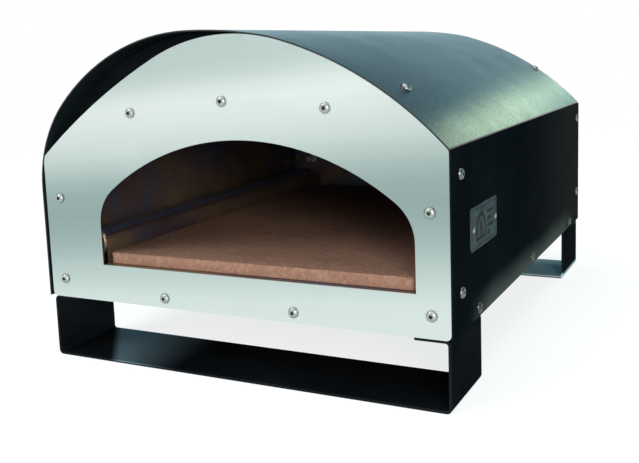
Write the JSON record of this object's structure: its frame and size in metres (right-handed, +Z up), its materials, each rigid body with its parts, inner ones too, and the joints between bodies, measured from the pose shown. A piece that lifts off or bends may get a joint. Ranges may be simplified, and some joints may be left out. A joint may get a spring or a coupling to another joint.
{
  "type": "countertop pizza oven",
  "caption": "Countertop gas pizza oven: arched black steel casing, brushed steel front with an arched mouth, side burner, baking stone and strap legs.",
  "frame": {"origin": "centre of the object's footprint, on the surface it stands on", "axes": "+Z up, the mouth faces -Y, +X to the right of someone facing the mouth"},
  "size_m": [0.4106, 0.5594, 0.3065],
  "materials": {
    "brushed_plate": "satin",
    "black_casing": "satin",
    "black_leg": "satin",
    "screw_steel": "satin",
    "zinc_nuts": "satin",
    "badge_metal": "satin",
    "heat_steel": "satin",
    "baking_stone": "matte",
    "mineral_wool": "matte",
    "burner_steel": "satin",
    "valve_brass": "satin",
    "stem_steel": "satin",
    "pipe_aluminium": "satin",
    "knob_plastic": "satin",
    "pointer_white": "satin",
    "spark_ceramic": "gloss",
    "probe_metal": "satin",
    "lead_insulation": "matte"
  },
  "bodies": {
    "oven": {"front_plate": "brushed_plate", "outer_shell": "black_casing", "right_side_panel": "black_casing", "base_pan": "black_casing", "rear_panel": "black_casing", "front_bulkhead": "black_casing", "front_leg": "black_leg", "rear_leg": "black_leg", "front_plate_screws": "screw_steel", "right_side_screws": "screw_steel", "left_side_screws": "screw_steel", "roof_screws": "screw_steel", "leg_screws": "screw_steel", "bonnet_screws": "screw_steel", "front_plate_nuts": "zinc_nuts", "side_rivet_nuts": "zinc_nuts", "base_clinch_nuts": "zinc_nuts", "roof_clinch_nuts": "zinc_nuts", "leg_nuts": "zinc_nuts", "front_plate_spacers": "zinc_nuts", "badge_plate": "badge_metal", "badge_rivets": "badge_metal", "inner_vault": "heat_steel", "inner_back_wall": "heat_steel", "inner_floor": "heat_steel", "floor_supports": "heat_steel", "stone_rails": "heat_steel", "burner_guard": "heat_steel", "insulation_blanket": "mineral_wool", "base_insulation": "mineral_wool", "burner_tube": "burner_steel", "burner_brackets": "burner_steel", "jet_holder": "valve_brass", "burner_jet": "valve_brass", "valve_body": "valve_brass", "valve_bonnet": "valve_brass", "valve_nut": "valve_brass", "inlet_elbow": "valve_brass", "inlet_nut": "valve_brass", "gas_inlet_nipple": "valve_brass", "knob_bezel": "stem_steel", "gas_pipe": "pipe_aluminium", "inlet_riser": "pipe_aluminium", "igniter_insulator": "spark_ceramic", "igniter_pin": "probe_metal", "flame_probe": "probe_metal", "igniter_lead": "lead_insulation", "probe_lead": "lead_insulation"},
    "valve_plug": {"valve_plug": "valve_brass"},
    "knob": {"control_knob": "knob_plastic", "knob_pointer": "pointer_white", "valve_stem": "stem_steel"},
    "stone": {"pizza_stone": "baking_stone"}
  },
  "joints": [
    {"name": "knob_turn", "type": "hinge", "parent": "oven", "child": "valve_plug", "pos_m": [-0.09855, 0.22307, 0.1465], "axis": [0, 1, 0], "range_deg": [0, 180]},
    {"name": "knob_push", "type": "slide", "parent": "valve_plug", "child": "knob", "axis": [0, -1, 0], "range_m": [0, 0.004], "stiffness_N_per_m": 1500, "springref_m": -0.004},
    {"name": "stone_slide", "type": "slide", "parent": "oven", "child": "stone", "axis": [0, -1, 0], "range_m": [0, 0.16]}
  ]
}
